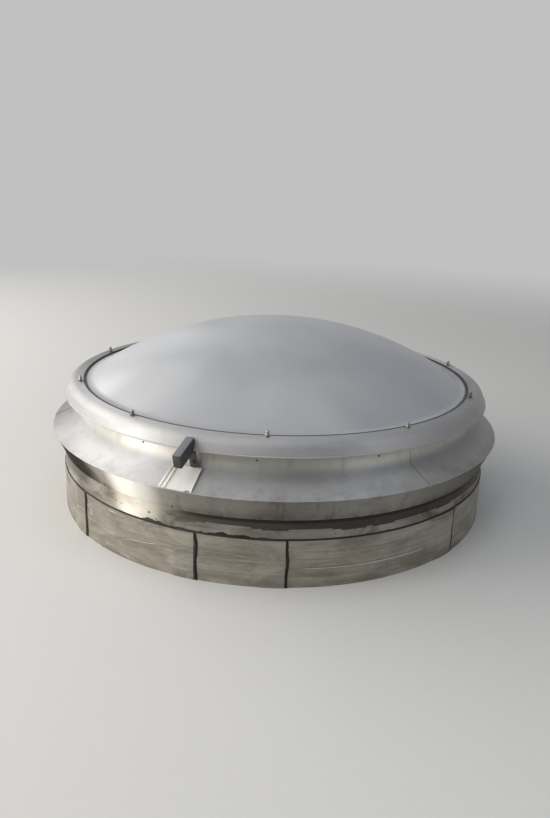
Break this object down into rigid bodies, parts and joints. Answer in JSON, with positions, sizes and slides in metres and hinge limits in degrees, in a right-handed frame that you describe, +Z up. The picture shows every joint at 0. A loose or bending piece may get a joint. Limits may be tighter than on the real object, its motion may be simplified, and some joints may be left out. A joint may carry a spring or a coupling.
{
  "type": "roof skylight",
  "caption": "Round roof skylight: shallow double-skin dome clamped by a rounded ring on a flared, insulated metal kerb with a membrane-wrapped foot.",
  "frame": {"origin": "centre of the kerb's foot, on the surface that it stands on", "axes": "+Z up along the dome's axis; the side bracket stands on the side facing -X and -Y"},
  "size_m": [2.34, 2.3399, 0.9355],
  "materials": {
    "galvanised_steel": "galvanised, dull",
    "weathered_sheet": "rolled sheet, stained by run-off",
    "insulation": "rigid foam",
    "bitumen": "black, slightly glossy",
    "fastener_steel": "dulled by weather",
    "gasket_rubber": "black sealing rubber",
    "inner_acrylic": "opal acrylic skin",
    "opal_acrylic": "glossy opal acrylic, thin film of dust",
    "rim_aluminium": "satin mill finish",
    "bracket_steel": "dark zinc paint",
    "bright_plate": "bright bare sheet",
    "foil_membrane": "metallic foil facing with horizontal streaks",
    "apron_aluminium": "mill finish, soft reflections",
    "skirt_aluminium": "mill finish, dulled by weather"
  },
  "bodies": {
    "root": {"apron_segment_1": "apron_aluminium", "apron_segment_2": "apron_aluminium", "apron_segment_3": "apron_aluminium", "bracket_bolt": "fastener_steel", "bracket_nut": "fastener_steel", "bracket_plate": "bright_plate", "cap_nuts": "fastener_steel", "clamp_ring": "rim_aluminium", "core_lower": "insulation", "core_middle": "insulation", "core_upper": "insulation", "dome_bolts": "fastener_steel", "foot_ring": "galvanised_steel", "inner_dome": "inner_acrylic", "kerb_inner_wall": "galvanised_steel", "kerb_outer_wall": "weathered_sheet", "lower_gasket": "gasket_rubber", "membrane_seam_beads": "bitumen", "membrane_sheet_1": "foil_membrane", "membrane_sheet_2": "foil_membrane", "membrane_sheet_3": "foil_membrane", "membrane_sheet_4": "foil_membrane", "membrane_sheet_5": "foil_membrane", "membrane_sheet_6": "foil_membrane", "membrane_sheet_7": "foil_membrane", "membrane_sheet_8": "foil_membrane", "membrane_sheet_9": "foil_membrane", "membrane_top_bead": "bitumen", "neck_screws": "fastener_steel", "outer_dome": "opal_acrylic", "sealing_washers": "fastener_steel", "side_bracket": "bracket_steel", "skirt_screws": "fastener_steel", "skirt_segment_1": "skirt_aluminium", "skirt_segment_2": "skirt_aluminium", "skirt_segment_3": "skirt_aluminium", "skirt_segment_4": "skirt_aluminium", "spacer_ring": "gasket_rubber", "top_ring": "galvanised_steel", "upper_gasket": "gasket_rubber"}
  },
  "joints": []
}
